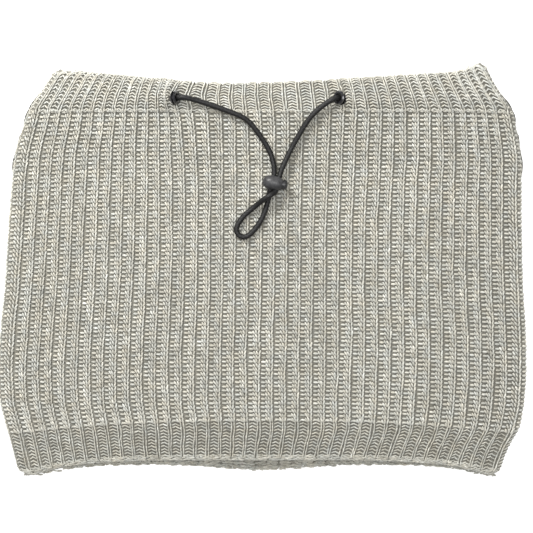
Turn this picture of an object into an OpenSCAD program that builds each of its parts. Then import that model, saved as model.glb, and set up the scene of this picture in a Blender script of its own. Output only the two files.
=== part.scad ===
// Knitted neck gaiter, lying flat, with an elastic drawcord and a spring cord lock.
// X runs across the tube, Y from the hem up to the drawcord casing, Z up from the
// surface that the gaiter lies on. Lengths are in millimetres.

/* [Knit] */
// Thickness of the ribbed body and of the hem band
knit_t = 4; // [3.5:0.1:4.2]
// Thickness of each of the two plies of the casing
ply_t = 2.2; // [2:0.1:2.3]
// Width of the side seams
seam_w = 3.5; // [3:0.1:3.8]
// Gap between front and back layers in the middle of the body
neck_gap = 5.6; // [5.4:0.1:6]

/* [Drawcord] */
// Diameter of the elastic cord
cord_d = 2.8; // [2.7:0.05:2.9]
// Inner diameter of the eyelets
eyelet_bore_d = 4; // [3.8:0.1:4.2]
// Outer diameter of the eyelets and their washers
eyelet_d = 7.5; // [7.2:0.1:7.8]
// Height of the channel that the cord runs in
channel_h = 3.8; // [3.8:0.05:4]

/* [Cord lock] */
// Outer diameter of the barrel
barrel_d = 8; // [7.8:0.1:8.4]
// Travel of the push button
press_travel = 0.8; // [0.6:0.1:0.8]
// Diameter of the plunger's shaft
shaft_d = 4.8; // [4.6:0.05:4.9]

/* [Hidden] */

// Side outlines of the flat tube, as [y, x] from the hem up to the top edge.
left_side = [[-113, -132.5], [-100, -136], [-88, -139], [-78, -143], [-56, -144.4], [-36, -143.3],
    [-10, -140.6], [27, -138.3], [55, -136], [79, -132.3], [87, -128.4], [95, -122.5],
    [104, -117], [114, -109]];
right_side = [[-113, 129.5], [-100, 133], [-88, 140.5], [-78, 142.7], [-56, 144.4], [-36, 144.2],
    [-10, 142.3], [27, 141.6], [60, 141.6], [77, 139.6], [87, 137], [93, 132], [104, 125],
    [114, 120.5]];
seam_y = 86.5;          // height of the line that closes the casing
fit = 0.05;             // gap between faces that only touch
fold_gap = 0.3;         // gap between the fold and the inner plies' top edges
casing_gap = 5.2;       // gap between the front and back casings in the middle
body_rise = 4.8;        // how far the casing lifts the top of the front body
left_eyelet_x = -46.8;
right_eyelet_x = 41.8;
eyelet_y = 92.8;
left_tilt = 62;         // angle of each eyelet away from straight up
right_tilt = 44;
side_inset = 9;         // the inner plies end here, and the cord turns round the side
back_stack = 2 * ply_t + channel_h;
shut = 0.4;             // height of the channel where it holds no cord

// Routes of the cord, point by point.
channel_left_route = [[-46.8, 92.8, 20.4], [-49.4, 92.8, 18.5], [-53, 92.8, 17.6], [-60, 92.8, 17.5],
    [-74, 92.8, 17.2], [-88, 92.8, 16.7], [-99, 92.8, 15.8], [-107.5, 92.8, 14.8],
    [-112.5, 92.8, 14], [-116, 92.8, 12.5], [-117.4, 92.8, 9], [-116, 92.8, 5.5],
    [-112.5, 92.8, 4.1], [-84, 92.8, 4.1], [-56, 92.8, 4.1], [-28, 92.8, 4.1], [0, 92.8, 4.1]];
channel_right_route = [[41.8, 92.8, 19.7], [44.3, 92.8, 18.1], [49, 92.8, 17.6], [62, 92.8, 17.5],
    [78, 92.8, 17.3], [94, 92.8, 16.8], [106, 92.8, 15.9], [114.5, 92.8, 14.9],
    [120.6, 92.8, 14], [124.1, 92.8, 12.5], [125.5, 92.8, 9], [124.1, 92.8, 5.5],
    [120.6, 92.8, 4.1], [90, 92.8, 4.1], [60, 92.8, 4.1], [30, 92.8, 4.1], [0, 92.8, 4.1]];
left_strand_route = [[-46.8, 92.8, 20.4], [-44.3, 92.8, 22.1], [-41, 92.6, 22.4], [-36.9, 91.7, 21.3],
    [-32.2, 90.3, 20.6], [-25.7, 88.2, 20.7], [-16.7, 84.8, 20.7], [-10.9, 82.7, 20.2],
    [-6.9, 79.8, 19.4], [-3.7, 76, 18.8], [-0.6, 71.7, 17.9], [2.2, 67.5, 17.2],
    [4.3, 63.4, 17.1], [5.7, 59.2, 17.2], [6.4, 54.9, 17.7], [6.4, 51.3, 17.9], [5.5, 47.1, 17.9]];
right_strand_route = [[41.8, 92.8, 19.7], [39.9, 92.6, 21.5], [36.9, 91.3, 22.1], [33.6, 89.2, 21.3],
    [30.3, 86.7, 20.7], [27.3, 84, 20.4], [24.5, 80.6, 19.7], [21.9, 76.6, 18.8],
    [19.2, 72.1, 17.9], [16.7, 67.8, 17.2], [14.5, 63.5, 17], [12.5, 59.2, 17.1],
    [10.6, 54.8, 17.6], [9.2, 51, 17.9], [8.3, 46.7, 17.9]];
loop_route = [[8.3, 46.7, 17.9], [7.8, 44.5, 17.9], [7.3, 42.9, 18], [6.3, 41.6, 18.8],
    [4.7, 40.6, 19.9], [2.9, 39.5, 20], [0.9, 38.2, 19.1], [-1.2, 36.7, 17.5], [-3.5, 34.9, 16],
    [-6.1, 32.8, 15.2], [-8.6, 30.8, 15.1], [-10.8, 28.6, 15.1], [-12.6, 26.1, 15.1],
    [-13.8, 24.1, 15.1], [-14.3, 21.9, 15.1], [-13.7, 19.8, 15.1], [-12.1, 18.2, 15.1],
    [-10, 17.7, 15.1], [-7.8, 18.4, 15.1], [-5.5, 20.5, 15.1], [-3, 23.4, 15.1],
    [-0.6, 27.1, 15.1], [1.1, 31, 15.1], [2.3, 34.9, 15.1], [3, 37.6, 15.2], [3.4, 39.6, 15.7],
    [3.6, 41.2, 16.5], [4, 42.7, 17.3], [4.6, 44.2, 17.9], [5.5, 47.1, 17.9]];

// Cord lock, along its own long axis from the dome towards the button.
lock_pos = [6.9, 46.9, 17.9];
lock_turn = -10;
barrel_end = 3.8;
barrel_mid = -1.2;      // where the barrel is widest
barrel_half = 5.7;      // from there to the end of its dome
dome_power = 2.2;       // roundness of the barrel's two halves, 2 for an ellipse
mouth_power = 3;
bore_clear = 0.1;
spring_seat = -5.9;
shaft_tip = -4.1;
pair_half = 3.4;        // half the width that two cords side by side need
pair_h = cord_d + 0.6;
button_back = barrel_end + press_travel + fit;
button_r = 2.7;
button_rim = 0.5;
button_dome = 1.8;
dome_end = 70;          // angle at which the button's dome is cut off flat
spring_wire_d = 0.3;
spring_r = 1.6;
spring_room_r = 2;
spring_turns = 2;

left_grip = ply_t * cos(left_tilt) / 2;
right_grip = ply_t * cos(right_tilt) / 2;
eyelet_wall = 0.5;
rim_h = 0.9;            // height of the eyelet's rim above the ply
rim_bevel = 0.45;
washer_t = 0.7;
thread_d = 0.8;
back_cord_z = 4.1;
sleeve_d = 3.7;
sleeve_l = 12;
hem_steps = 3;
body_steps = 12;
casing_steps = 7;

knit_grey = [0.70, 0.69, 0.65];
rib_grey = [0.64, 0.63, 0.59];

// Fractions of the width at which the knit is drawn, closer together at the eyelets.
across = [for (i = [0:22]) i / 22];
casing_us = concat([for (i = [0:6]) i / 25], [for (i = [0:11]) 0.256 + 0.0085 * i],
    [for (i = [0:5]) 0.385 + 0.04 * i], [for (i = [0:9]) 0.61 + 0.0095 * i],
    [for (i = [0:7]) 0.72 + 0.04 * i]);
inner_us = [for (i = [0:24]) mix(side_inset / 250, 1 - side_inset / 250, i / 24)];

function mix(a, b, t) = a + (b - a) * t;
function ease(a, b, v) = let (t = min(1, max(0, (v - a) / (b - a)))) t * t * (3 - 2 * t);
function hill(v, centre, width) = exp(-pow((v - centre) / width, 2));
function unit(v) = v / norm(v);
function barrel_r(x) = let (n = x < barrel_mid ? dome_power : mouth_power)
    barrel_d / 2 * pow(1 - pow(abs(x - barrel_mid) / barrel_half, n), 1 / n);

// Edges of the knit, as heights over the fraction u of the width.
function left_x(y) = lookup(y, left_side) + seam_w;
function right_x(y) = lookup(y, right_side) - seam_w;
function at(u, y) = mix(left_x(y), right_x(y), u);
function off(u) = abs(2 * u - 1);
function band_y(u) = -80 - 7.5 * pow(off(u), 2.5);
function back_hem_y(u) = -106.2 - 3.3 * hill(u, 0.5, 0.12) - 6.2 * pow(off(u), 6);
function front_hem_y(u) = -103.4 - 9 * pow(off(u), 5);
function top_y(u) = 101.3 + (u < 0.44 ? 8.8 : 6.6) * pow(abs(u - 0.44) / 0.5, 1.2) + 3.54 * ease(0.94, 1, u);

// The front layer is arched: 1 in the middle and 0 at the side seams.
function arch(x, y) = let (m = (left_x(y) + right_x(y)) / 2, h = (right_x(y) - left_x(y)) / 2)
    max(0, 1 - pow(abs(x - m) / h, 6));
function front_low(x, y) = knit_t + fit + (neck_gap - fit) * arch(x, y) + body_rise * ease(60, seam_y, y);
function inner_low(x, y) = back_stack + fit + casing_gap * arch(x, y);

// The drawcord bunches the casing into a ridge outside each eyelet, and the
// channel between the two eyelets is empty and closed.
function open_channel(x) = 1 - ease(left_eyelet_x - 3.5, left_eyelet_x + 3.5, x)
    + ease(right_eyelet_x - 5, right_eyelet_x + 5, x);
function ridge(x) = 4.5 * hill(x, left_eyelet_x - 5, 4.95) + 2 * hill(x, right_eyelet_x + 5, 5.6);
function lift(x, v) = ease(0, 0.2, v) * ((channel_h - shut) * open_channel(x) + ridge(x));
function outer_low(x, y, v) = inner_low(x, y) + ply_t + shut + lift(x, v);

// A closed solid from rows of [outer points, inner points], with the rows side by side.
module strip(rows) {
    n = 2 * len(rows[0][0]);
    last = (len(rows) - 1) * n;
    points = [for (r = rows) each concat(r[0], [for (k = [n / 2 - 1:-1:0]) r[1][k]])];
    skin = [for (i = [0:len(rows) - 2], k = [0:n - 1])
        let (a = i * n + k, b = i * n + (k + 1) % n)
        each [[a, b, b + n], [a, b + n, a + n]]];
    ends = [for (k = [0:n / 2 - 2])
        each [[n - 1 - k, n - 2 - k, k + 1], [n - 1 - k, k + 1, k],
            [last + k, last + k + 1, last + n - 2 - k],
            [last + k, last + n - 2 - k, last + n - 1 - k]]];
    polyhedron(points, concat(skin, ends), convexity = 6);
}

// A knit layer between two edges; low gives its underside over x, y and the fraction v.
module layer(from_y, to_y, steps, thick, low, us = across) {
    strip([for (u = us)
        let (path = [for (k = [0:steps]) let (v = k / steps, y = mix(from_y(u), to_y(u), v), x = at(u, y))
            [x, y, low(x, y, v)]])
        [[for (p = path) p + [0, 0, thick]], path]]);
}

// A round cord through the points of a route.
module cord(route, d, sides, normal = [0, 0, 1]) {
    n = len(route);
    points = [for (i = [0:n - 1])
        let (way = unit(route[min(i + 1, n - 1)] - route[max(i - 1, 0)]),
            a = unit(cross(normal, way)), b = cross(way, a))
        each [for (k = [0:sides - 1]) let (t = 360 * k / sides)
            route[i] + d / 2 * (cos(t) * a + sin(t) * b)]];
    skin = [for (i = [0:n - 2], k = [0:sides - 1])
        let (p = i * sides + k, q = i * sides + (k + 1) % sides)
        each [[p, p + sides, q + sides], [p, q + sides, q]]];
    ends = [[for (k = [0:sides - 1]) k], [for (k = [sides - 1:-1:0]) (n - 1) * sides + k]];
    polyhedron(points, concat(skin, ends), convexity = 8);
}

module front_body_panel() {
    color(knit_grey) layer(function(u) band_y(u), function(u) seam_y, body_steps, knit_t,
        function(x, y, v) front_low(x, y));
}

module back_body_panel() {
    color(knit_grey) layer(function(u) band_y(u), function(u) seam_y, body_steps, knit_t,
        function(x, y, v) 0);
}

module front_hem_band() {
    color(rib_grey) layer(function(u) front_hem_y(u), function(u) band_y(u), hem_steps, knit_t,
        function(x, y, v) front_low(x, y));
}

module back_hem_band() {
    color(rib_grey) layer(function(u) back_hem_y(u), function(u) band_y(u), hem_steps, knit_t,
        function(x, y, v) 0);
}

// Outer ply with the fold that turns it over the top edge. low gives its underside,
// fold_z where the fold ends, and way is 1 on the front and -1 on the back, which lies
// with its outside down.
module folded_ply(us, low, fold_z, way) {
    outer_z = way > 0 ? ply_t : 0;
    strip([for (u = us)
        let (top = top_y(u), in_y = top - ply_t, x = at(u, top), in_x = at(u, in_y),
            path = [for (k = [0:casing_steps])
                let (y = mix(seam_y, in_y, k / casing_steps), px = at(u, y))
                [px, y, low(px, y, k / casing_steps)]],
            edge_z = path[casing_steps][2], end_z = fold_z(in_x, in_y), turn_y = in_y + ply_t / 3,
            outer = concat([for (k = [0:casing_steps - 1]) path[k] + [0, 0, outer_z]],
                [[at(u, turn_y), turn_y, edge_z + outer_z], [x, top, edge_z + ply_t / 2],
                [x, top, end_z]]),
            inner = concat([for (p = path) p + [0, 0, ply_t - outer_z]],
                [[in_x, in_y, mix(edge_z + ply_t - outer_z, end_z, 0.5)], [in_x, in_y, end_z]]))
        way > 0 ? [outer, inner] : [inner, outer]]);
}

// resize() leaves the ply its own size, and makes one mesh of it and its eyelet seats.
module front_casing_outer() {
    color(rib_grey) resize([0, 0, 0]) difference() {
        folded_ply(casing_us, function(x, y, v) outer_low(x, y, v),
            function(x, y) inner_low(x, y), 1);
        at_eyelet(left_eyelet_x, left_tilt) eyelet_room(left_grip);
        at_eyelet(right_eyelet_x, -right_tilt) eyelet_room(right_grip);
    }
}

module front_casing_inner() {
    color(rib_grey) layer(function(u) seam_y, function(u) top_y(u) - ply_t - fold_gap, casing_steps,
        ply_t, function(x, y, v) inner_low(x, y), inner_us);
}

module back_casing_outer() {
    color(rib_grey) folded_ply(across, function(x, y, v) 0, function(x, y) back_stack, -1);
}

module back_casing_inner() {
    color(rib_grey) layer(function(u) seam_y, function(u) top_y(u) - ply_t - fold_gap, casing_steps,
        ply_t, function(x, y, v) ply_t + shut + (channel_h - shut) * ease(0, 0.2, v), inner_us);
}

// Rounded strip that joins the front and back layers along one side. way is -1 on the
// left and 1 on the right.
module side_seam(way) {
    u = way > 0 ? 1 : 0;
    arc = 6;
    in_y = top_y(u) - ply_t;
    ys = concat([for (k = [0:hem_steps - 1]) mix(front_hem_y(u), band_y(u), k / hem_steps)],
        [for (k = [0:body_steps - 1]) mix(band_y(u), seam_y, k / body_steps)],
        [for (k = [0:casing_steps]) mix(seam_y, in_y, k / casing_steps)], [top_y(u)]);
    strip([for (y = ys)
        let (x = at(u, y), v = (y - seam_y) / (in_y - seam_y),
            high = y < seam_y ? front_low(x, y) + knit_t : outer_low(x, y, v) + ply_t,
            outer = [for (k = [0:arc]) let (t = way * (2 * k / arc - 1))
                [x + way * seam_w * (0.35 + 0.65 * sqrt(1 - t * t)), y, high * (1 + t) / 2]],
            inner = [for (k = [0:arc]) let (t = way * (2 * k / arc - 1))
                [x, y, high * (1 + t) / 2]])
        [outer, inner]]);
}

module left_side_seam() {
    color(rib_grey) side_seam(-1);
}

module right_side_seam() {
    color(rib_grey) side_seam(1);
}

// Thread that closes the channel of the casing, just below the casing's edge.
module front_casing_stitching() {
    color(knit_grey) cord([for (u = across) let (x = at(u, seam_y))
        [x, seam_y - thread_d, front_low(x, seam_y) + knit_t + thread_d / 2 + fit]], thread_d, 6);
}

module back_casing_stitching() {
    color(knit_grey) cord([for (u = across) [at(u, seam_y), seam_y - thread_d,
        knit_t + thread_d / 2 + fit]], thread_d, 6);
}

// Eyelets sit square to the slope of the ply that they clamp. grip is half the
// thickness of that ply, measured along the eyelet's axis.
module at_eyelet(x, tilt) {
    translate([x, eyelet_y, outer_low(x, eyelet_y, 0.5) + ply_t / 2]) rotate([0, tilt, 0]) children();
}

module eyelet(grip) {
    r = eyelet_bore_d / 2;
    foot = -grip - washer_t - rim_bevel;
    rotate_extrude($fn = 48) polygon([[r, foot], [r + eyelet_wall, foot],
        [r + eyelet_wall, grip], [eyelet_d / 2, grip], [eyelet_d / 2, grip + rim_h - rim_bevel],
        [eyelet_d / 2 - rim_bevel, grip + rim_h], [r + rim_bevel, grip + rim_h],
        [r, grip + rim_h - rim_bevel]]);
}

module washer(grip) {
    translate([0, 0, -grip - washer_t]) difference() {
        cylinder(h = washer_t, r = eyelet_d / 2, $fn = 48);
        translate([0, 0, -1]) cylinder(h = washer_t + 2, r = eyelet_bore_d / 2 + eyelet_wall + fit, $fn = 48);
    }
}

module eyelet_room(grip) {
    cylinder(h = 12, r = eyelet_bore_d / 2 + eyelet_wall + fit, center = true, $fn = 48);
    translate([0, 0, grip]) cylinder(h = 4, r = eyelet_d / 2 + fit, $fn = 48);
    translate([0, 0, -grip - 3]) cylinder(h = 3, r = eyelet_d / 2 + fit, $fn = 48);
}

module left_eyelet() {
    color("black") at_eyelet(left_eyelet_x, left_tilt) eyelet(left_grip);
}

module right_eyelet() {
    color("black") at_eyelet(right_eyelet_x, -right_tilt) eyelet(right_grip);
}

module left_eyelet_washer() {
    color("dimgray") at_eyelet(left_eyelet_x, left_tilt) washer(left_grip);
}

module right_eyelet_washer() {
    color("dimgray") at_eyelet(right_eyelet_x, -right_tilt) washer(right_grip);
}

// The elastic cord, from each eyelet round the side to the middle of the back, and
// from each eyelet through the lock to the loop.
module channel_cord_left() {
    color("black") cord(channel_left_route, cord_d, 8, [0, 1, 0]);
}

module channel_cord_right() {
    color("black") cord(channel_right_route, cord_d, 8, [0, 1, 0]);
}

module cord_join_sleeve() {
    color("dimgray") translate([0, eyelet_y, back_cord_z]) rotate([0, 90, 0]) difference() {
        cylinder(h = sleeve_l, r = sleeve_d / 2, center = true, $fn = 48);
        cylinder(h = sleeve_l + 2, r = cord_d / 2 + 0.02, center = true, $fn = 48);
    }
}

module drawcord_left_strand() {
    color("black") cord(left_strand_route, cord_d, 8);
}

module drawcord_right_strand() {
    color("black") cord(right_strand_route, cord_d, 8);
}

module drawcord_loop() {
    color("black") cord(loop_route, cord_d, 8);
}

// The lock's parts are drawn along X, with the cords passing through along Y.
module at_lock() {
    translate(lock_pos) rotate([0, 0, lock_turn]) children();
}

module along_x(from, to, r1, r2) {
    translate([from, 0, 0]) rotate([0, 90, 0]) cylinder(h = to - from, r1 = r1, r2 = r2, $fn = 64);
}

// A solid of revolution about X from points of [radius, x].
module turned(profile) {
    rotate([0, 90, 0]) rotate_extrude($fn = 64) polygon(profile);
}

// A slot through the lock for two cords side by side.
module cord_slot(from, to, high) {
    r = high / 2;
    for (x = [from + r, to - r])
        translate([x, 0, 0]) rotate([90, 0, 0]) cylinder(h = 2 * barrel_d, r = r, center = true, $fn = 48);
    translate([from + r, -barrel_d, -r]) cube([to - from - high, 2 * barrel_d, high]);
}

module lock_barrel() {
    bore_r = shaft_d / 2 + bore_clear / 2;
    steps = 16;
    sweep = acos((barrel_mid - barrel_end) / barrel_half);
    color([0.2, 0.2, 0.21]) at_lock() difference() {
        turned(concat([[0, barrel_mid - barrel_half]], [for (k = [1:steps])
            let (x = barrel_mid - barrel_half * cos(k * sweep / steps)) [barrel_r(x), x]],
            [[0, barrel_end]]));
        along_x(shaft_tip - press_travel - fit, barrel_end + 1, bore_r, bore_r);
        along_x(spring_seat, shaft_tip, spring_room_r, spring_room_r);
        cord_slot(-pair_half, pair_half, pair_h);
    }
}

module lock_plunger() {
    color([0.1, 0.1, 0.1]) at_lock() difference() {
        union() {
            along_x(shaft_tip, button_back + 0.1, shaft_d / 2, shaft_d / 2);
            turned(concat([[0, button_back], [button_r, button_back]], [for (a = [0:10:dome_end])
                [button_r * cos(a), button_back + button_rim + button_dome * sin(a)]],
                [[0, button_back + button_rim + button_dome * sin(dome_end)]]));
        }
        cord_slot(-pair_half + 0.1, pair_half + press_travel - fit, pair_h + 0.1);
    }
}

module lock_spring() {
    steps = 12;
    rise = shaft_tip - spring_seat - spring_wire_d - 0.1;
    color("silver") at_lock() cord([for (k = [0:steps * spring_turns])
        let (t = 360 * k / steps, part = k / (steps * spring_turns))
        [spring_seat + spring_wire_d / 2 + fit + rise * part, spring_r * cos(t), spring_r * sin(t)]],
        spring_wire_d, 6, [1, 0, 0]);
}

front_body_panel();
back_body_panel();
front_hem_band();
back_hem_band();
front_casing_outer();
front_casing_inner();
back_casing_outer();
back_casing_inner();
left_side_seam();
right_side_seam();
front_casing_stitching();
back_casing_stitching();
left_eyelet();
right_eyelet();
left_eyelet_washer();
right_eyelet_washer();
channel_cord_left();
channel_cord_right();
cord_join_sleeve();
drawcord_left_strand();
drawcord_right_strand();
drawcord_loop();
lock_barrel();
lock_plunger();
lock_spring();
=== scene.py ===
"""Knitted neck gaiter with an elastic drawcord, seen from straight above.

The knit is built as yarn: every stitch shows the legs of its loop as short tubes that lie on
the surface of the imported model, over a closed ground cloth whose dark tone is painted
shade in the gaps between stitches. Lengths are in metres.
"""

import math

import bmesh
import bpy
import numpy as np
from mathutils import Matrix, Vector
from mathutils.bvhtree import BVHTree


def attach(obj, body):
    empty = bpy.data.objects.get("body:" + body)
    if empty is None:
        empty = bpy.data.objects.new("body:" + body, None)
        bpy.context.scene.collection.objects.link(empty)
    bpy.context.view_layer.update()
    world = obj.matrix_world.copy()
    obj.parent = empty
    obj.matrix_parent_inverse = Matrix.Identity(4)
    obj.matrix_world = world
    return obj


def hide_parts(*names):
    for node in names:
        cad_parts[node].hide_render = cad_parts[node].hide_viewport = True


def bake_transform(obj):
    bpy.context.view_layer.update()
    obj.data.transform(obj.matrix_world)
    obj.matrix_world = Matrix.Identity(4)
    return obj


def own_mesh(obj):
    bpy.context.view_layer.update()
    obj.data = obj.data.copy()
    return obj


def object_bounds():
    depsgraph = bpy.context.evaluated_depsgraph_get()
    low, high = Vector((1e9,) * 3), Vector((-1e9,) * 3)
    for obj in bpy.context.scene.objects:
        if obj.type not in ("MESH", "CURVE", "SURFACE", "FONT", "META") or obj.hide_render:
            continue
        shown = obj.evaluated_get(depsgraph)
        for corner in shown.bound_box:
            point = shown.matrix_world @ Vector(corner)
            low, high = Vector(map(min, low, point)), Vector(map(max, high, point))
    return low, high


MM = 0.001
RIBS = 41                # rib repeats across each face of the tube
ROOT = "gaiter"

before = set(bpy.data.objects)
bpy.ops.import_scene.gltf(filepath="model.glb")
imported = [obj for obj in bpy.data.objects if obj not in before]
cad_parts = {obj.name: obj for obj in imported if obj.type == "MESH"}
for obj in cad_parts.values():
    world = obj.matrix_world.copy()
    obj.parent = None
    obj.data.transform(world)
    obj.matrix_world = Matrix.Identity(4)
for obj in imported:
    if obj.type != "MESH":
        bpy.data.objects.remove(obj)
CAD_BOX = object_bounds()
rng = np.random.default_rng(7)


# ---------------------------------------------------------------- small helpers

def collection_link(obj):
    bpy.context.scene.collection.objects.link(obj)
    return obj


def mesh_object(name, points, quads, attributes):
    """A mesh of four-cornered faces, with attributes of its points."""
    mesh = bpy.data.meshes.new(name)
    points = np.asarray(points, dtype=np.float32)
    quads = np.asarray(quads, dtype=np.int32)
    mesh.vertices.add(len(points))
    mesh.vertices.foreach_set("co", points.ravel())
    mesh.loops.add(quads.size)
    mesh.loops.foreach_set("vertex_index", quads.ravel())
    mesh.polygons.add(len(quads))
    mesh.polygons.foreach_set("loop_start", np.arange(len(quads), dtype=np.int32) * 4)
    mesh.polygons.foreach_set("loop_total", np.full(len(quads), 4, dtype=np.int32))
    mesh.polygons.foreach_set("use_smooth", np.ones(len(quads), dtype=bool))
    for key, values in attributes.items():
        values = np.asarray(values, dtype=np.float32)
        if values.ndim == 1:
            mesh.attributes.new(key, "FLOAT", "POINT").data.foreach_set("value", values)
        else:
            mesh.attributes.new(key, "FLOAT_VECTOR", "POINT").data.foreach_set(
                "vector", values.ravel())
    mesh.update()
    mesh.validate()
    return collection_link(bpy.data.objects.new(name, mesh))


def ease(a, b, v):
    """0 at a and 1 at b, with a soft start and end."""
    t = np.clip((v - a) / (b - a), 0, 1)
    return t * t * (3 - 2 * t)


def hill(v, centre, width):
    """A bell curve that is 1 at its centre."""
    return np.exp(-((v - centre) / width) ** 2)


def lerp(a, b, t):
    """From a at 0 to b at 1."""
    return a + (b - a) * t


def unit(v):
    """Vectors brought to length 1."""
    return v / np.maximum(np.linalg.norm(v, axis=-1), 1e-12)[..., None]


def tube_quads(rings, around, turned=False):
    """Faces between rings of points that follow one another; turned swaps their two sides."""
    a = np.arange(rings - 1)[:, None] * around + np.arange(around)
    b = np.roll(a, -1, axis=1)
    corners = (a, a + around, b + around, b) if turned else (a, b, b + around, a + around)
    return np.stack(corners, -1).reshape(-1, 4)


# ---------------------------------------------------------------- camera

VIEW_W = 293.4 * MM      # width of the view on the gaiter
LENS, SENSOR = 85, 36
PLANE_Z = 0.005          # the height at which the view is that wide
VIEW_CENTRE = (2.2 * MM, 1.9 * MM)


def make_camera():
    data = bpy.data.cameras.new("camera")
    data.lens = LENS
    data.sensor_width = SENSOR
    data.clip_start = 0.05
    data.clip_end = 20
    camera = collection_link(bpy.data.objects.new("camera", data))
    camera.location = (*VIEW_CENTRE, PLANE_Z + VIEW_W * LENS / SENSOR)
    bpy.context.scene.camera = camera


make_camera()


# ---------------------------------------------------------------- materials

def shader(name, roughness, **sockets):
    """A Principled material. A socket's name is given with underscores for its spaces."""
    material = bpy.data.materials.new(name)
    material.use_nodes = True
    tree = material.node_tree
    bsdf = tree.nodes["Principled BSDF"]
    bsdf.inputs["Roughness"].default_value = roughness
    for key, value in sockets.items():
        bsdf.inputs[key.replace("_", " ")].default_value = value
    return material, tree, bsdf


def node(tree, kind, **settings):
    made = tree.nodes.new(kind)
    for key, value in settings.items():
        if key in made.inputs:
            made.inputs[key].default_value = value
        else:
            setattr(made, key, value)
    return made


def noise(tree, coords, scale, detail, roughness=0.5):
    made = node(tree, "ShaderNodeTexNoise", Scale=scale, Detail=detail, Roughness=roughness)
    tree.links.new(coords, made.inputs["Vector"])
    return made.outputs["Fac"]


def ramp(tree, factor, stops):
    made = tree.nodes.new("ShaderNodeValToRGB")
    elements = made.color_ramp.elements
    while len(elements) < len(stops):
        elements.new(0.5)
    for element, (position, colour) in zip(elements, stops):
        element.position = position
        element.color = (*colour, 1)
    tree.links.new(factor, made.inputs["Fac"])
    return made.outputs["Color"]


def maths(tree, operation, a, b, c=None, clamp=False):
    made = tree.nodes.new("ShaderNodeMath")
    made.operation = operation
    made.use_clamp = clamp
    for at, value in enumerate((a, b, c)):
        if value is None:
            continue
        if isinstance(value, (int, float)):
            made.inputs[at].default_value = value
        else:
            tree.links.new(value, made.inputs[at])
    return made.outputs[0]


def bump(tree, bsdf, height, strength, distance):
    made = node(tree, "ShaderNodeBump", Strength=strength, Distance=distance)
    tree.links.new(height, made.inputs["Height"])
    tree.links.new(made.outputs["Normal"], bsdf.inputs["Normal"])


WOOL = [(0.00, (0.120, 0.116, 0.098)),
        (0.25, (0.255, 0.249, 0.218)),
        (0.52, (0.440, 0.433, 0.388)),
        (0.78, (0.640, 0.632, 0.578)),
        (1.00, (0.860, 0.850, 0.790))]
WARM, COOL = (1.0, 0.965, 0.905), (0.95, 0.975, 1.0)


def plus_noise(tree, value, grain, amount, less=0.0, clamp=False):
    """Adds a noise times amount to a value, and takes the noise's mean and less off it."""
    centred = maths(tree, "SUBTRACT", value, amount / 2 + less)
    return maths(tree, "MULTIPLY_ADD", grain, amount, centred, clamp=clamp)


def wool(name, shade=0.0):
    """Heather wool: each stitch has its own tone, and plied fibres run along the yarn. shade
    darkens all of it as painted shade; the ground cloth under the stitches uses it."""
    material, tree, bsdf = shader(name, 0.93, Sheen_Weight=0.2, Sheen_Roughness=0.6,
                                  Specular_IOR_Level=0.12)
    place = node(tree, "ShaderNodeTexCoord").outputs["Object"]
    tone = node(tree, "ShaderNodeAttribute", attribute_name="tone").outputs["Fac"]
    tint = node(tree, "ShaderNodeAttribute", attribute_name="tint").outputs["Fac"]
    along = node(tree, "ShaderNodeAttribute", attribute_name="along").outputs["Vector"]
    cloud = noise(tree, place, 90, 3)
    hue = noise(tree, place, 140, 2)
    fleck = noise(tree, place, 1500, 2, 0.6)
    fibre = noise(tree, along, 9, 3, 0.7)
    # painted shade: the tone of the whole material is lowered by shade
    total = plus_noise(tree, tone, cloud, 0.20, less=shade)
    total = plus_noise(tree, total, fleck, 0.42)
    total = plus_noise(tree, total, fibre, 0.36, clamp=True)
    warmth = maths(tree, "MULTIPLY_ADD", hue, 1.6, maths(tree, "MULTIPLY_ADD", tint, 0.6, -0.6),
                   clamp=True)
    # Inputs 6 and 7 of the node take the two colours, and output 2 gives their product.
    mix = node(tree, "ShaderNodeMix", data_type="RGBA", blend_type="MULTIPLY")
    mix.inputs["Factor"].default_value = 1
    tree.links.new(ramp(tree, total, WOOL), mix.inputs[6])
    tree.links.new(ramp(tree, warmth, [(0, COOL), (1, WARM)]), mix.inputs[7])
    tree.links.new(mix.outputs[2], bsdf.inputs["Base Color"])
    bump(tree, bsdf, fibre, 0.55, 0.25 * MM)
    return material


# Black of the cord, darkest in the painted shade of the braid's dips
CORD_TONES = [(0.0, (0.001, 0.001, 0.001)),
              (0.6, (0.006, 0.006, 0.006)),
              (1.0, (0.018, 0.018, 0.018))]


def black_braid(name):
    """Braided elastic: crossing strands with a soft gloss, and painted shade in the dips between
    them.
    """
    material, tree, bsdf = shader(name, 0.5, Specular_IOR_Level=0.4)
    painted_groove_shade = node(tree, "ShaderNodeAttribute", attribute_name="tone").outputs["Fac"]
    place = node(tree, "ShaderNodeTexCoord").outputs["Object"]
    fibre = noise(tree, place, 2600, 2)
    # painted shade: the braid's tone attribute is dark in the dips between strands
    mixed = maths(tree, "MULTIPLY_ADD", fibre, 0.3, maths(tree, "MULTIPLY", painted_groove_shade, 0.7), clamp=True)
    tree.links.new(ramp(tree, mixed, CORD_TONES), bsdf.inputs["Base Color"])
    tree.links.new(maths(tree, "MULTIPLY_ADD", fibre, 0.25, 0.4), bsdf.inputs["Roughness"])
    bump(tree, bsdf, fibre, 0.4, 0.08 * MM)
    return material


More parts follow.
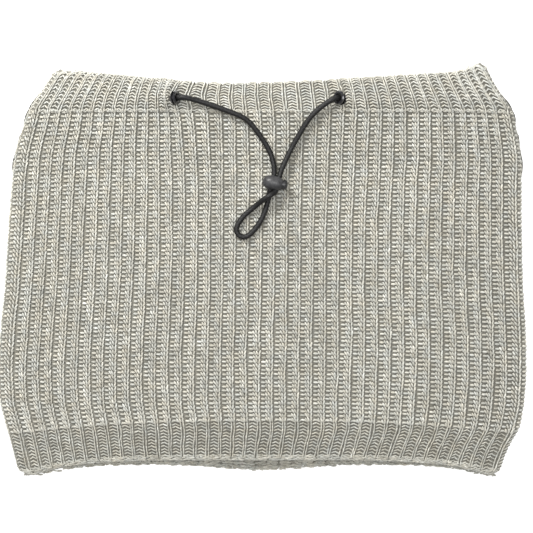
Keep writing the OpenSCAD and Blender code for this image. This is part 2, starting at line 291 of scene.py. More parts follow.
def moulded(name, colour, roughness):
    """Moulded plastic with a fine spark-eroded grain and slight wear."""
    material, tree, bsdf = shader(name, roughness)
    place = node(tree, "ShaderNodeTexCoord").outputs["Object"]
    fine = noise(tree, place, 5200, 2)
    broad = noise(tree, place, 420, 3)
    light = tuple(min(1, c * 1.5 + 0.006) for c in colour)
    dark = tuple(c * 0.75 for c in colour)
    tree.links.new(ramp(tree, broad, [(0.3, dark), (0.72, light)]), bsdf.inputs["Base Color"])
    tree.links.new(maths(tree, "MULTIPLY_ADD", broad, 0.22, roughness - 0.11),
                   bsdf.inputs["Roughness"])
    bump(tree, bsdf, fine, 0.2, 0.03 * MM)
    return material


def metal(name, colour, roughness, metallic=1.0, coat=0.0):
    """Metal, bare or enamelled, with faint drawing marks."""
    material, tree, bsdf = shader(name, roughness, Metallic=metallic, Coat_Weight=coat,
                                  Coat_Roughness=0.06)
    place = node(tree, "ShaderNodeTexCoord").outputs["Object"]
    marks = noise(tree, place, 2400, 3)
    light = tuple(min(1, c * 1.35) for c in colour)
    tree.links.new(ramp(tree, marks, [(0.3, colour), (0.75, light)]), bsdf.inputs["Base Color"])
    tree.links.new(maths(tree, "MULTIPLY_ADD", marks, 0.14, roughness - 0.07),
                   bsdf.inputs["Roughness"])
    bump(tree, bsdf, marks, 0.12, 0.02 * MM)
    return material


WOOL_YARN = wool("wool_yarn")
# painted shade: the ground cloth is made darker than the yarn, so that the gaps between stitches
# read as shadowed
GROUND_WOOL_PAINTED_SHADE = wool("wool_ground_painted_shade", shade=0.27)
CORD_BLACK = black_braid("cord_black")
BARREL = moulded("barrel_grey_black", (0.035, 0.035, 0.037), 0.42)
BUTTON = moulded("button_black", (0.016, 0.016, 0.017), 0.36)
ENAMEL = metal("eyelet_black_enamel", (0.012, 0.012, 0.014), 0.22, metallic=0.0, coat=0.9)
STEEL = metal("dark_steel", (0.16, 0.16, 0.17), 0.35)
SPRING = metal("bright_wire", (0.55, 0.55, 0.56), 0.25)


def dress(obj, material):
    obj.data.materials.clear()
    obj.data.materials.append(material)


# ---------------------------------------------------------------- drawcord

CORD_D = 2.8 * MM
CARRIERS = 8                 # strands that wind each way
BRAID_STEP = 2.1 * MM        # from one strand to the next, along the cord
BRAID_RELIEF = 0.17 * MM

# The cord's routes in millimetres, the same as in the part's source.
LEFT_STRAND = [(-46.8, 92.8, 20.4), (-44.3, 92.8, 22.1), (-41, 92.6, 22.4), (-36.9, 91.7, 21.3),
               (-32.2, 90.3, 20.6), (-25.7, 88.2, 20.7), (-16.7, 84.8, 20.7),
               (-10.9, 82.7, 20.2), (-6.9, 79.8, 19.4), (-3.7, 76, 18.8), (-0.6, 71.7, 17.9),
               (2.2, 67.5, 17.2), (4.3, 63.4, 17.1), (5.7, 59.2, 17.2), (6.4, 54.9, 17.7),
               (6.4, 51.3, 17.9), (5.5, 47.1, 17.9)]
RIGHT_STRAND = [(41.8, 92.8, 19.7), (39.9, 92.6, 21.5), (36.9, 91.3, 22.1), (33.6, 89.2, 21.3),
                (30.3, 86.7, 20.7), (27.3, 84, 20.4), (24.5, 80.6, 19.7), (21.9, 76.6, 18.8),
                (19.2, 72.1, 17.9), (16.7, 67.8, 17.2), (14.5, 63.5, 17), (12.5, 59.2, 17.1),
                (10.6, 54.8, 17.6), (9.2, 51, 17.9), (8.3, 46.7, 17.9)]
LOOP = [(8.3, 46.7, 17.9), (7.8, 44.5, 17.9), (7.3, 42.9, 18), (6.3, 41.6, 18.8),
        (4.7, 40.6, 19.9), (2.9, 39.5, 20), (0.9, 38.2, 19.1), (-1.2, 36.7, 17.5),
        (-3.5, 34.9, 16), (-6.1, 32.8, 15.2), (-8.6, 30.8, 15.1), (-10.8, 28.6, 15.1),
        (-12.6, 26.1, 15.1), (-13.8, 24.1, 15.1), (-14.3, 21.9, 15.1), (-13.7, 19.8, 15.1),
        (-12.1, 18.2, 15.1), (-10, 17.7, 15.1), (-7.8, 18.4, 15.1), (-5.5, 20.5, 15.1),
        (-3, 23.4, 15.1), (-0.6, 27.1, 15.1), (1.1, 31, 15.1), (2.3, 34.9, 15.1),
        (3, 37.6, 15.2), (3.4, 39.6, 15.7), (3.6, 41.2, 16.5), (4, 42.7, 17.3),
        (4.6, 44.2, 17.9), (5.5, 47.1, 17.9)]
CHANNEL_LEFT = [(-46.8, 92.8, 20.4), (-49.4, 92.8, 18.5), (-53, 92.8, 17.6), (-60, 92.8, 17.5),
                (-74, 92.8, 17.2), (-88, 92.8, 16.7), (-99, 92.8, 15.8), (-107.5, 92.8, 14.8),
                (-112.5, 92.8, 14), (-116, 92.8, 12.5), (-117.4, 92.8, 9), (-116, 92.8, 5.5),
                (-112.5, 92.8, 4.1), (-84, 92.8, 4.1), (-56, 92.8, 4.1), (-28, 92.8, 4.1),
                (0, 92.8, 4.1)]
CHANNEL_RIGHT = [(41.8, 92.8, 19.7), (44.3, 92.8, 18.1), (49, 92.8, 17.6), (62, 92.8, 17.5),
                 (78, 92.8, 17.3), (94, 92.8, 16.8), (106, 92.8, 15.9), (114.5, 92.8, 14.9),
                 (120.6, 92.8, 14), (124.1, 92.8, 12.5), (125.5, 92.8, 9), (124.1, 92.8, 5.5),
                 (120.6, 92.8, 4.1), (90, 92.8, 4.1), (60, 92.8, 4.1), (30, 92.8, 4.1),
                 (0, 92.8, 4.1)]


def smooth_route(points, step):
    """A B-spline that the points, in millimetres, guide: its points at an even step, and its
    length."""
    pts = np.array(points, dtype=float) * MM
    pts = np.vstack([2 * pts[0] - pts[1], pts, 2 * pts[-1] - pts[-2]])
    t = np.linspace(0, 1, 24, endpoint=False)[:, None]
    weights = ((1 - t) ** 3, 3 * t ** 3 - 6 * t ** 2 + 4,
               -3 * t ** 3 + 3 * t ** 2 + 3 * t + 1, t ** 3)
    spans = [sum(weight * point for weight, point in zip(weights, four)) / 6
             for four in zip(pts, pts[1:], pts[2:], pts[3:])]
    line = np.vstack(spans + [pts[-2:-1]])
    far = np.concatenate([[0], np.cumsum(np.linalg.norm(np.diff(line, axis=0), axis=1))])
    even = np.linspace(0, far[-1], max(4, int(far[-1] / step)))
    return np.stack([np.interp(even, far, line[:, k]) for k in range(3)], 1), far[-1]


def rings_along(path, first):
    """Side and normal directions that turn as little as possible along a path."""
    way = unit(np.gradient(path, axis=0))
    side = np.zeros_like(path)
    last = np.cross(first, way[0])
    for k, w in enumerate(way):
        last = last - w * np.dot(last, w)
        last /= np.linalg.norm(last)
        side[k] = last
    return side, np.cross(way, side)


def close_ends(obj, rings):
    """Closes a tube with one face on each of the rings of points, given by their numbers."""
    bm = bmesh.new()
    bm.from_mesh(obj.data)
    bm.verts.ensure_lookup_table()
    for ring in rings:
        bm.faces.new([bm.verts[int(k)] for k in ring])
    bm.to_mesh(obj.data)
    bm.free()


def braided_cord(name, points, step=0.16 * MM, around=40, first=(0, 0, 1)):
    """A round braided cord: two sets of strands wind opposite ways, over and under."""
    path, length = smooth_route(points, step)
    side, up = rings_along(path, first)
    turn = np.arange(around) / around * 2 * math.pi
    run = np.linspace(0, length, len(path))[:, None] / BRAID_STEP
    a = np.cos(CARRIERS / 2 * turn[None] + run * math.pi)
    b = np.cos(CARRIERS / 2 * turn[None] - run * math.pi)
    over = 0.25 * np.sign(a * b)
    height = np.maximum(np.abs(a) * (1 + over), np.abs(b) * (1 - over))
    radius = CORD_D / 2 - BRAID_RELIEF + BRAID_RELIEF * height
    circle = (np.cos(turn)[None, :, None] * side[:, None]
              + np.sin(turn)[None, :, None] * up[:, None])
    skin = path[:, None] + radius[..., None] * circle
    # The tone attribute is painted shade: it follows the braid's height and is darkest in the dips.
    obj = mesh_object(name, skin.reshape(-1, 3), tube_quads(len(path), around, turned=True),
                      {"tone": ((height - 0.7) / 0.5).clip(0, 1).ravel()})
    ring = np.arange(around)
    close_ends(obj, [ring, (len(path) - 1) * around + ring[::-1]])
    dress(obj, CORD_BLACK)
    return obj, path, length


def make_cords():
    """The strands and the loop bend between the gaiter and the lock. The rest of the cord is
    hidden in the channel."""
    for name, route in (("drawcord_left_strand", LEFT_STRAND),
                        ("drawcord_right_strand", RIGHT_STRAND)):
        obj, path, length = braided_cord(name + "_braid", route)
        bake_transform(obj)
        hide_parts(name)
    obj, path, length = braided_cord("drawcord_loop_braid", LOOP)
    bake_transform(obj)
    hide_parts("drawcord_loop")
    for name, route in (("channel_cord_left", CHANNEL_LEFT), ("channel_cord_right", CHANNEL_RIGHT)):
        obj, _, _ = braided_cord(name + "_braid", route, step=0.5 * MM, around=24, first=(0, 1, 0))
        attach(obj, ROOT)
        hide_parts(name)


make_cords()


# ---------------------------------------------------------------- outline of the tube

# An outline is a pair of arrays: where it is read, and its value there.

CLOTH = ["front_body_panel", "back_body_panel", "front_hem_band", "back_hem_band",
         "front_casing_outer", "front_casing_inner", "back_casing_outer", "back_casing_inner",
         "left_side_seam", "right_side_seam"]
CORNER_R = 4.5 * MM


def vertices(name):
    """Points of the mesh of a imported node."""
    mesh = bpy.data.objects[name].data
    out = np.empty(len(mesh.vertices) * 3)
    mesh.vertices.foreach_get("co", out)
    return out.reshape(-1, 3)


def softened(line, reach):
    """A line of values at even steps, evened out over reach steps to each side."""
    kernel = np.hanning(2 * reach + 3)[1:-1]
    padded = np.pad(line, reach, mode="reflect", reflect_type="odd")
    return np.convolve(padded, kernel / kernel.sum(), "valid")


def raised(line, by):
    """An outline moved up."""
    return line[0], line[1] + by


def side_line(name, value, pick):
    """x or z of a side seam's edge over the height y."""
    pts = vertices(name)
    rows = np.unique(np.round(pts[:, 1], 5))
    best = [pick(pts[np.abs(pts[:, 1] - y) < 0.1 * MM, value]) for y in rows]
    grid = np.linspace(rows[0], rows[-1], 160)
    return grid, softened(np.interp(grid, rows, best), 3)


def widened(line, way, all_along, below):
    """A side's outline moved out to the photo's, by some more millimetres below the casing."""
    y, x = line
    return y, x + way * (all_along + below * ease(0.076, 0.062, y)) * MM


def rounded(line, way):
    """A side's outline with its two ends drawn in, so that the tube's corners are round."""
    y, x = line
    near = np.clip(1 - np.minimum(y - y[0], y[-1] - y) / CORNER_R, 0, 1)
    return y, x + way * CORNER_R * (1 - np.sqrt(1 - near ** 2)) * 0.8


LEFT_LINE = widened(side_line("left_side_seam", 0, np.min), -1, 0.6, 1.3)
RIGHT_LINE = widened(side_line("right_side_seam", 0, np.max), 1, 0.9, 0.6)
EDGE_TOP = side_line("left_side_seam", 2, np.max)
SEAM_Y = float(vertices("front_body_panel")[:, 1].max())


def left_x(y):
    return np.interp(y, *LEFT_LINE)


def right_x(y):
    return np.interp(y, *RIGHT_LINE)


def edge_over_u(name, pick):
    """The lower or upper edge of a panel, as its height over the fraction of the width."""
    pts = vertices(name)
    u = (pts[:, 0] - left_x(pts[:, 1])) / (right_x(pts[:, 1]) - left_x(pts[:, 1]))
    grid = np.linspace(0, 1, 60)
    columns = np.linspace(u.min(), u.max(), 23)
    best = [pick(pts[np.abs(u - c) < 0.028, 1]) for c in columns]
    return grid, softened(np.interp(grid, columns, best), 3)


# The photo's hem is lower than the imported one, and its top a little higher.
HEM_FRONT = raised(edge_over_u("front_hem_band", np.min), -1.2 * MM)
HEM_BACK = raised(edge_over_u("back_hem_band", np.min), -1.2 * MM)
BAND = edge_over_u("front_hem_band", np.max)
TOP = raised(edge_over_u("back_casing_outer", np.max), 0.7 * MM)

# The edges above are read with the sides still straight up to the corners.
LEFT_LINE = rounded(LEFT_LINE, 1)
RIGHT_LINE = rounded(RIGHT_LINE, -1)


# ---------------------------------------------------------------- surface of the tube

HEM_DROOP = 0.6          # part of the gap between the layers by which the front hem sinks
EDGE_R = 5.0 * MM        # how far in from the side the tube's edge is rounded
HEM_R = 1.9 * MM         # radius of the turned edge of the hem
LINING_INSET = 3.2 * MM  # from the side of the tube to the side of its inside
EYELET_CLEAR = 4.5 * MM  # radius round an eyelet in which the cloth's height isn't read
GRID_X = np.linspace(CAD_BOX[0][0], CAD_BOX[1][0], 220)
GRID_Y = np.linspace(CAD_BOX[0][1], CAD_BOX[1][1], 180)


def fill(grid):
    """Spreads known heights outwards into the empty cells."""
    for _ in range(60):
        empty = np.isnan(grid)
        if not empty.any():
            break
        wide = np.pad(grid, 1, constant_values=np.nan)
        around = np.stack([wide[:-2, 1:-1], wide[2:, 1:-1], wide[1:-1, :-2], wide[1:-1, 2:]])
        known = ~np.isnan(around)
        mean = np.where(known, around, 0).sum(0) / np.maximum(known.sum(0), 1)
        grid = np.where(empty & known.any(0), mean, grid)
    return grid


def soften(grid, across, along):
    """Blurs a grid of heights a number of times along each axis."""
    for axis, times in ((0, across), (1, along)):
        size = grid.shape[axis]
        for _ in range(times):
            wide = np.pad(grid, [(1, 1) if a == axis else (0, 0) for a in (0, 1)], mode="edge")
            before = np.take(wide, range(size), axis)
            after = np.take(wide, range(2, size + 2), axis)
            grid = (before + after + 2 * grid) / 4
    return grid


def heights(names, upward):
    """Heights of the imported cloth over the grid, from above or from below."""
    trees = []
    for name in names:
        bm = bmesh.new()
        bm.from_mesh(bpy.data.objects[name].data)
        trees.append(BVHTree.FromBMesh(bm))
        bm.free()
    grid = np.full((len(GRID_X), len(GRID_Y)), np.nan)
    start, way = (0.2, Vector((0, 0, -1))) if upward else (-0.1, Vector((0, 0, 1)))
    for a, x in enumerate(GRID_X):
        for b, y in enumerate(GRID_Y):
            hits = [t.ray_cast(Vector((x, y, start)), way)[0] for t in trees]
            hits = [h.z for h in hits if h is not None]
            if hits:
                grid[a, b] = max(hits) if upward else min(hits)
    return grid


def sample(grid, x, y):
    """The height at places between the points of a grid."""
    a = np.clip((x - GRID_X[0]) / (GRID_X[1] - GRID_X[0]), 0, len(GRID_X) - 1.001)
    b = np.clip((y - GRID_Y[0]) / (GRID_Y[1] - GRID_Y[0]), 0, len(GRID_Y) - 1.001)
    i, j = a.astype(int), b.astype(int)
    a, b = a - i, b - j
    return ((grid[i, j] * (1 - a) + grid[i + 1, j] * a) * (1 - b)
            + (grid[i, j + 1] * (1 - a) + grid[i + 1, j + 1] * a) * b)


def eyelet_frame(name):
    """Centre and axis of an eyelet: its axis is the way in which it is shortest."""
    pts = vertices(name)
    centre = (pts.max(0) + pts.min(0)) / 2
    axis = np.linalg.svd(pts - pts.mean(0), full_matrices=False)[2][2]
    return centre, axis * np.sign(axis[2])


EYELETS = [eyelet_frame("left_eyelet"), eyelet_frame("right_eyelet")]


def cloth_heights():
    """The front layer's outer and inner heights and the back layer's inner one, free of the
    eyelets' holes and of steps. Low down the front layer sinks towards the back one."""
    top = heights(["front_body_panel", "front_hem_band", "front_casing_outer"], True)
    for centre, _ in EYELETS:
        away = np.hypot(GRID_X[:, None] - centre[0], GRID_Y[None] - centre[1])
        top[away < EYELET_CLEAR] = np.nan
    under = heights(["front_body_panel", "front_hem_band", "front_casing_inner"], False)
    over = heights(["back_body_panel", "back_hem_band", "back_casing_inner"], True)
    top = soften(fill(top), 2, 9)
    under = soften(fill(under), 2, 6)
    over = soften(fill(over), 2, 6)
    sink = HEM_DROOP * np.clip(under - over, 0, None) * ease(-0.082, -0.108, GRID_Y)[None]
    return top - sink, under - sink, over


FRONT_TOP, FRONT_UNDER, BACK_OVER = cloth_heights()

# How far the drawcord shifts the ribs of the casing, as (fraction of the width, shift).
GATHER = np.array([(0, 0), (0.107, -0.012), (0.205, -0.022), (0.278, -0.031), (0.327, -0.036),
                   (0.40, -0.031), (0.498, -0.021), (0.595, 0), (0.693, 0.0135),
                   (0.79, 0.015), (0.888, 0.012), (1, 0)])


def gathered(u, y):
    """The fraction of the width after the drawcord has gathered the ribs near the top. The
    wide shift fades slowly down the body, and the pinch beside each eyelet fades fast."""
    wide = softened(np.interp(np.linspace(0, 1, 101), *GATHER.T), 4)
    slow = np.exp(-np.clip(0.094 - y, 0, 1) / (30 * MM))
    fast = np.exp(-np.abs(0.095 - y) / (14 * MM))
    pull = np.interp(u, np.linspace(0, 1, 101), wide) * slow
    pinch = -0.016 * hill(u, 0.352, 0.042) + 0.005 * hill(u, 0.632, 0.04)
    return u + pull + pinch * fast


def rounding(d):
    """The part of the tube's height that is left at the distance d from its side."""
    e = np.clip(d / EDGE_R, 0, 1)
    return np.sqrt(np.clip(1 - (1 - e) ** 2, 0, 1))


def round_the_side(u):
    """Spends more of u on the rounded sides, where the surface turns away."""
    wide = 0.035
    near = np.minimum(np.minimum(u, 1 - u), wide)
    return u + (2 * near ** 2 / wide - near ** 3 / wide ** 2 - near) * np.sign(0.5 - u)


def outside(face, u, s):
    """Point of the outer surface: face 1 is the front and -1 the back, u runs across, and s
    is the height, which goes on round the fold at the top and round the edge of the hem."""
    u = round_the_side(np.clip(u, 0, 1))
    hem = np.interp(u, *(HEM_FRONT if face > 0 else HEM_BACK)) + HEM_R
    edge = np.interp(u, *TOP)
    mid = np.clip(edge - 5 * MM, hem, None)
    xm = left_x(mid) + (right_x(mid) - left_x(mid)) * (gathered(u, mid) if face > 0 else u)
    if face > 0:
        fold = (sample(FRONT_TOP, xm, mid) - sample(FRONT_UNDER, xm, mid)) / 2
    else:
        fold = sample(BACK_OVER, xm, mid) / 2
    top = edge - fold
    over = np.clip((s - top) / fold, 0, math.pi)
    under = np.clip((hem - s) / HEM_R, 0, math.pi)
    y = np.clip(s, hem, top) + fold * np.sin(over) - HEM_R * np.sin(under)
    xl, xr = left_x(y), right_x(y)
    x = xl + (xr - xl) * (gathered(u, y) if face > 0 else u)
    d = np.minimum(x - xl, xr - x)
    middle = np.interp(y, *EDGE_TOP) / 2
    flat = sample(FRONT_TOP, x, np.clip(s, hem, top)) if face > 0 else np.zeros_like(x)
    turn = fold * (1 - np.cos(over)) + HEM_R * (1 - np.cos(under))
    return np.stack([x, y, middle + (flat - middle - face * turn) * rounding(d)], -1)


def inside(face, u, s):
    """Point of the inner surface of the tube, above the back layer or below the front one."""
    u = np.clip(u, 0, 1)
    xl, xr = left_x(s) + LINING_INSET, right_x(s) - LINING_INSET
    x = xl + (xr - xl) * u
    d = np.minimum(x - xl, xr - x)
    middle = np.interp(s, *EDGE_TOP) / 2
    flat = sample(FRONT_UNDER if face > 0 else BACK_OVER, x, s)
    return np.stack([x, s, middle + (flat - middle) * rounding(d)], -1)


# ---------------------------------------------------------------- yarn

PATH_T = np.array([0.0, 0.12, 0.31, 0.5, 0.69, 0.88, 1.0])
TUBE_WIDTH = 0.28            # about, to turn a length across the tube into a part of u
SHORTEST_LEG = 0.4 * MM
RIM_R, RIM_DEPTH = 3.1 * MM, 4 * MM      # the room that an eyelet takes from the yarn


def normals(surface, u, s):
    """Directions square to a surface."""
    step = 0.4 * MM
    du = surface(u + step / TUBE_WIDTH, s) - surface(u - step / TUBE_WIDTH, s)
    ds = surface(u, s + step) - surface(u, s - step)
    return unit(np.cross(du, ds))


def clear_of_eyelets(points):
    """True for the legs that no eyelet covers."""
    free = np.ones(points.shape[0], dtype=bool)
    for centre, axis in EYELETS:
        away = points - centre
        high = away @ axis
        wide = np.linalg.norm(away - high[..., None] * axis, axis=-1)
        free &= ~((wide < RIM_R) & (np.abs(high) < RIM_DEPTH)).any(1)
    return free


def leg_paths(surface, flip, legs):
    """Middle lines of the legs and the surface's normals there, and which legs to keep: those
    clear of the eyelets that the fold at the top hasn't squeezed to a point."""
    u0, s0, d0, u1, s1, d1, bow, _, sink, _, _ = legs
    t = PATH_T[None]
    u = lerp(u0[:, None], u1[:, None], lerp(t, ease(0, 1, t), bow[:, None]))
    s = lerp(s0[:, None], s1[:, None], t)
    base = surface(u, s)
    n = normals(surface, u, s) * flip
    arch = np.sin(math.pi * t) ** 0.6
    centre = base + n * (lerp(d0[:, None], d1[:, None], t) - sink[:, None] * (1 - arch))[..., None]
    long = np.linalg.norm(base[:, -1] - base[:, 0], axis=1) > SHORTEST_LEG
    return centre, n, clear_of_eyelets(centre) & long


def yarn_legs(name, surface, flip, legs, sides):
    """Tubes for the legs of loops, on a surface whose normals flip brings to point outwards.
    legs has a row of numbers for each: u, s and depth of its start and of its end, bow,
    radius, sink of its ends, tone and tint."""
    centre, n, keep = leg_paths(surface, flip, legs)
    centre, n = centre[keep], n[keep]
    radius, tone, tint = legs[7][keep], legs[9][keep], legs[10][keep]
    t = PATH_T[None]
    way = unit(np.gradient(centre, axis=1))
    side = unit(np.cross(n, way))
    up = np.cross(way, side)
    thick = radius[:, None] * (0.62 + 0.38 * np.sin(math.pi * t) ** 0.8)
    phi = np.arange(sides) / sides * 2 * math.pi
    ring = (centre[:, :, None] + thick[..., None, None]
            * (np.cos(phi)[None, None, :, None] * side[:, :, None]
               + 0.88 * np.sin(phi)[None, None, :, None] * up[:, :, None]))
    count, rings = centre.shape[:2]
    quads = tube_quads(rings, sides)[None] + (np.arange(count) * rings * sides)[:, None, None]
    seed = rng.uniform(0, 40, count)
    along = np.stack(np.broadcast_arrays(
        t[..., None] * 0.9 + seed[:, None, None],
        np.cos(phi)[None, None] * 0.8 + t[..., None] * 2.2,
        np.sin(phi)[None, None] * 0.8 + seed[:, None, None] * 0.37), -1)
    obj = mesh_object(name, ring.reshape(-1, 3), quads.reshape(-1, 4), {
        "tone": np.repeat(tone, rings * sides), "tint": np.repeat(tint, rings * sides),
        "along": along.reshape(-1, 3)})
    dress(obj, WOOL_YARN)
    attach(obj, ROOT)
    return obj


def wander(ribs, rows):
    """Slow sideways wander of each rib, as a fraction of its width."""
    steps = rng.normal(0, 1, (len(ribs), len(rows) // 6 + 3))
    at = np.linspace(0, steps.shape[1] - 1, len(rows))
    return np.stack([np.interp(at, np.arange(steps.shape[1]), line) for line in steps])


# The legs of one repeat of ribbing, from groove to groove, as
# (q0, v0, q1, v1, depth0, depth1, radius, sink, bow): q goes across the repeat and v up
# the rows, and the other lengths are in millimetres. HEM_LEGS make the hem bands and the
# casing, and EDGE_LEGS the bound-off edge and the inside of the back hem.
BODY_LEGS = [(0.045, 0.50, 0.370, 0.42, -0.38, -0.15, 0.63, 0.25, 0.0),
             (0.550, 0.10, 0.395, 0.98, -0.05, -0.10, 0.57, 0.4, 0.3),
             (0.710, 0.10, 0.600, 1.04, -0.02, 0.00, 0.54, 0.45, 0.3),
             (0.815, 0.02, 0.895, 1.20, -0.05, -0.12, 0.52, 0.3, 0.3)]
HEM_LEGS = [(0.098, 0.00, 0.104, 1.28, -0.15, -0.15, 0.43, 0.25, 0.0),
            (0.235, -0.42, 0.510, 0.18, -0.50, 0.00, 0.40, 0.25, 0.3),
            (0.500, 0.18, 0.860, -0.64, 0.00, -0.25, 0.41, 0.35, 0.3),
            (0.902, 0.00, 0.896, 1.28, -0.15, -0.15, 0.43, 0.25, 0.0)]
EDGE_LEGS = [(0.02, 0.20, 0.32, 0.44, -0.20, -0.15, 0.50, 0.2, 0.3),
             (0.32, 0.44, 0.64, 0.16, -0.10, -0.20, 0.50, 0.2, 0.3),
             (0.62, 0.16, 1.03, 0.24, -0.20, -0.10, 0.52, 0.2, 0.3),
             (0.12, 0.80, 0.48, 0.72, -0.35, -0.15, 0.46, 0.2, 0.0),
             (0.52, 0.66, 0.92, 0.76, -0.15, -0.35, 0.48, 0.2, 0.0)]
GROOVE = 0.4                 # where the first groove stands, in ribs from the side
BAND_SHIFT = -0.25           # by how many ribs the grooves of the bands stand aside
SURFACE_DEPTH = 0.5          # millimetres by which all legs are lowered into the surface
OVERLAP = 0.2 * MM           # by which a zone of ribbing reaches past its end
ALL_RIBS = (-1, RIBS + 1)


def stitch_tones(shape):
    """Heather: most stitches are middling, with scattered light and dark flecks."""
    tone = rng.normal(0.66, 0.05, shape)
    pick = rng.uniform(0, 1, shape)
    tone = np.where(pick < 0.07, tone - 0.15, tone)
    return np.where(pick > 0.90, tone + 0.14, tone)


def rib_zone(name, face, pattern, rows, low, high, ribs=ALL_RIBS, jitter=1.0, shade=0.0,
             surface=None, sides=5, shift=BAND_SHIFT):
    """All legs of a zone of ribbing between the lines low and high over u. rows is (first row,
    end, number of rows from low to high), and shift moves the ribs aside. shade raises or
    lowers the whole zone's tone as painted light or shade."""
    surface = surface or (lambda u, s: outside(face, u, s))
    rib = np.arange(*ribs)
    row = np.arange(rows[0], rows[1])
    sway = wander(rib, row) * 0.03 * jitter
    wale = rng.normal(0, 0.022, (len(rib), 1))
    legs = []
    for q0, v0, q1, v1, d0, d1, radius, sink, bow in pattern:
        q = rib[:, None] + GROOVE + shift + sway
        u0 = (q + q0 + rng.normal(0, 0.012 * jitter, q.shape)) / RIBS
        u1 = (q + q1 + rng.normal(0, 0.012 * jitter, q.shape)) / RIBS
        bottom, top = np.interp(u0, *low), np.interp(u0, *high)
        pitch = (top - bottom) / rows[2]
        v = row[None] + rng.normal(0, 0.05 * jitter, q.shape)
        deep = rng.normal(0, 0.06 * jitter, q.shape) * MM
        one = np.ones(q.shape)
        legs.append(np.stack([
            u0, bottom + pitch * (v + v0), (d0 - SURFACE_DEPTH) * MM + deep,
            u1, bottom + pitch * (v + v1), (d1 - SURFACE_DEPTH) * MM + deep, bow * one,
            radius * MM * (1 + rng.normal(0, 0.06 * jitter, q.shape)), sink * MM * one,
            # painted light and shade: shade lifts or lowers every stitch of the zone
            (stitch_tones(q.shape) + wale + shade).clip(0, 1), rng.uniform(0, 1, q.shape)]))
    legs = np.concatenate([part.reshape(11, -1) for part in legs], 1)
    legs = legs[:, (legs[0] > 0) & (legs[0] < 1)]
    return yarn_legs(name, surface, face, legs, sides)


def make_yarn():
    """Ribbing of both faces, in pieces of at most about 200,000 triangles."""
    seam = (np.array([0.0, 1.0]), np.array([SEAM_Y, SEAM_Y]))
    made = []
    for face, side, hem in ((1, "front", HEM_FRONT), (-1, "back", HEM_BACK)):
        for at, ribs in enumerate([(-1, 7), (7, 15), (15, 24), (24, 33), (33, RIBS)]):
            made.append(rib_zone(f"{side}_body_yarn_{at + 1}", face, BODY_LEGS, (-1, 74, 74),
                                 raised(BAND, -0.3 * MM), raised(seam, OVERLAP), ribs,
                                 sides=6 if face > 0 else 5, shift=0.0))
        # painted shade: the hem at the bottom is darkened, as it faces away from the light
        made.append(rib_zone(f"{side}_hem_yarn", face, HEM_LEGS, (1, 14, 14), hem,
                             raised(BAND, OVERLAP), jitter=0.9, shade=-0.07))
        # painted shade: the rolled edge of the hem is darker still
        made.append(rib_zone(f"{side}_hem_edge_yarn", face, EDGE_LEGS, (-2, 2, 14), hem,
                             raised(BAND, OVERLAP), jitter=1.6, shade=-0.12))
        # painted light: the casing at the top is lightened, as the light falls from the top
        made.append(rib_zone(f"{side}_casing_yarn", face, HEM_LEGS, (0, 19, 11),
                             raised(seam, OVERLAP), TOP, jitter=0.9, shade=0.09))
    # painted shade: the inside of the back hem, under the front hem, is darkened
    made.append(rib_zone("back_hem_lining_yarn", 1, EDGE_LEGS, (0, 8, 8), HEM_BACK,
                         raised(HEM_BACK, 13 * MM), jitter=2.2, shade=-0.05,
                         surface=lambda u, s: inside(-1, u, s)))
    made.append(rib_zone("back_casing_lining_yarn", 1, HEM_LEGS, (0, 7, 7),
                         raised(TOP, -14 * MM), raised(TOP, -1 * MM),
                         surface=lambda u, s: inside(-1, u, s)))
    return made


STITCH_EVERY = 0.0098        # from one running stitch to the next, and
STITCH_LENGTH = 0.0072       # how long one is, as parts of the width


def make_stitching():
    """Running stitches of wool that close the channel of the casing, just below its edge."""
    for face, side in ((1, "front"), (-1, "back")):
        u = np.arange(0.03, 0.97, STITCH_EVERY)
        u = u + rng.normal(0, 0.0006, u.shape)
        s = SEAM_Y - 0.4 * MM + rng.normal(0, 0.08, u.shape) * MM
        one = np.ones(u.shape)
        depth = -0.25 * MM * one
        obj = yarn_legs(f"{side}_casing_running_stitches", lambda u, s: outside(face, u, s), face,
                        [u, s, depth, u + STITCH_LENGTH, s, depth, 0 * one, 0.3 * MM * one,
                         0.5 * MM * one, rng.normal(0.62, 0.05, u.shape),
                         rng.uniform(0, 1, u.shape)], sides=8)
        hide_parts(f"{side}_casing_stitching")


YARN = make_yarn()
make_stitching()


# ---------------------------------------------------------------- ground cloth, darkened as painted shade

GROUND_DEPTH = 1.45 * MM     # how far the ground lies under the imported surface
LINING_DROP = 0.9 * MM       # how far it lies under that surface inside the back


def ground_skin(place, u, rows, low, high_front, high_back):
    """Rings round the tube on its outer or inner surface, the first by low from the edge of
    the hem and the last by the high values from the top."""
    rings = []
    for k in np.linspace(0, 1, rows):
        ring = []
        for face, hem, high in ((1, HEM_FRONT, high_front), (-1, HEM_BACK, high_back)):
            s = lerp(np.interp(u, *hem) + low, np.interp(u, *TOP) + high, k)
            ring.append(place(face, u, s)[::face])
        rings.append(np.vstack(ring))
    return np.stack(rings)


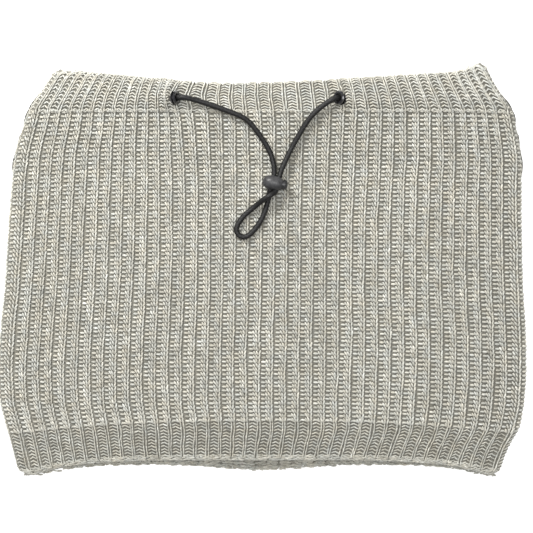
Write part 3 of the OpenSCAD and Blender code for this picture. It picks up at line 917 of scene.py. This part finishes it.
def make_ground():
    """The closed cloth under the yarn: one tube, its outside, its inside and its two edges. Its low
    tone is painted shade for the gaps between the stitches.
    """
    columns, rows = 170, 110
    u = (1 - np.cos(np.linspace(0, math.pi, columns))) / 2
    outer = ground_skin(outside, u, rows, -1.5 * MM, 9.0 * MM, 3.0 * MM)
    inner = ground_skin(inside, u, rows, 2.0 * MM, -4.0 * MM, -4.0 * MM)
    n = unit(np.cross(np.roll(outer, -1, 1) - np.roll(outer, 1, 1), np.gradient(outer, axis=0)))
    # Where the sides and the top turn away, the ground lies close under the yarn.
    from_side = ease(0, 0.03, np.minimum(u, 1 - u))[None]
    from_top = ease(0, 0.05, 1 - np.linspace(0, 1, rows))[:, None]
    near = np.minimum(from_side, from_top)
    depth = GROUND_DEPTH * lerp(0.55, 1, np.concatenate([near, near[:, ::-1]], 1))
    outer = outer - n * depth[..., None]
    inner[:, columns:, 2] -= LINING_DROP
    points = np.concatenate([outer.reshape(-1, 3), inner.reshape(-1, 3)])
    around = 2 * columns
    within = rows * around       # number of the first point of the inside
    ring = np.arange(around)
    ahead = (ring + 1) % around
    last = (rows - 1) * around
    hem = np.stack([ring, ring + within, ahead + within, ahead], -1)
    rim = np.stack([last + ring, last + ahead, last + ahead + within, last + ring + within], -1)
    quads = np.concatenate([tube_quads(rows, around),
                            tube_quads(rows, around, turned=True) + within, hem, rim])
    obj = mesh_object("knit_ground", points, quads, {
        # painted shade: the ground's tone is set well below the stitches' tones
        "tone": np.full(len(points), 0.45), "tint": np.full(len(points), 0.5),
        "along": points * 400})
    dress(obj, GROUND_WOOL_PAINTED_SHADE)
    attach(obj, ROOT)
    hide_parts(*CLOTH)


make_ground()


# ---------------------------------------------------------------- hardware


def finish_hardware():
    """Materials of the hard parts, and a mesh of its own for the spring."""
    for name, material in (("left_eyelet", ENAMEL), ("right_eyelet", ENAMEL),
                           ("left_eyelet_washer", STEEL), ("right_eyelet_washer", STEEL),
                           ("cord_join_sleeve", STEEL), ("lock_barrel", BARREL),
                           ("lock_plunger", BUTTON), ("lock_spring", SPRING)):
        dress(bpy.data.objects[name], material)
    wire = vertices("lock_spring")
    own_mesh(bpy.data.objects["lock_spring"])


finish_hardware()


# ---------------------------------------------------------------- floor and light

def make_stage():
    bpy.ops.mesh.primitive_plane_add(size=4.0, location=(0, 0, -0.1 * MM))
    floor = bpy.context.object
    floor.name = "floor"
    material, _, _ = shader("floor_white", 0.9, Base_Color=(0.9, 0.9, 0.9, 1),
                            Specular_IOR_Level=0.0, Emission_Color=(1, 1, 1, 1),
                            Emission_Strength=0.55)
    dress(floor, material)


def area_light(name, place, size, power, colour):
    data = bpy.data.lights.new(name, "AREA")
    data.shape = "DISK"
    data.size = size
    data.energy = power
    data.color = colour
    light = collection_link(bpy.data.objects.new(name, data))
    light.location = place
    light.rotation_euler = (-Vector(place)).to_track_quat("-Z", "Y").to_euler()


def make_light():
    area_light("key", (-0.38, 0.62, 0.62), 0.35, 9.5, (1.0, 0.99, 0.965))
    area_light("overhead", (0.05, 0.05, 1.5), 0.9, 13, (1.0, 1.0, 1.0))
    world = bpy.data.worlds.new("studio")
    world.use_nodes = True
    world.node_tree.nodes["Background"].inputs["Color"].default_value = (1, 1, 1, 1)
    world.node_tree.nodes["Background"].inputs["Strength"].default_value = 0.35
    bpy.context.scene.world = world
    bpy.context.scene.view_settings.view_transform = "Standard"


make_stage()
make_light()
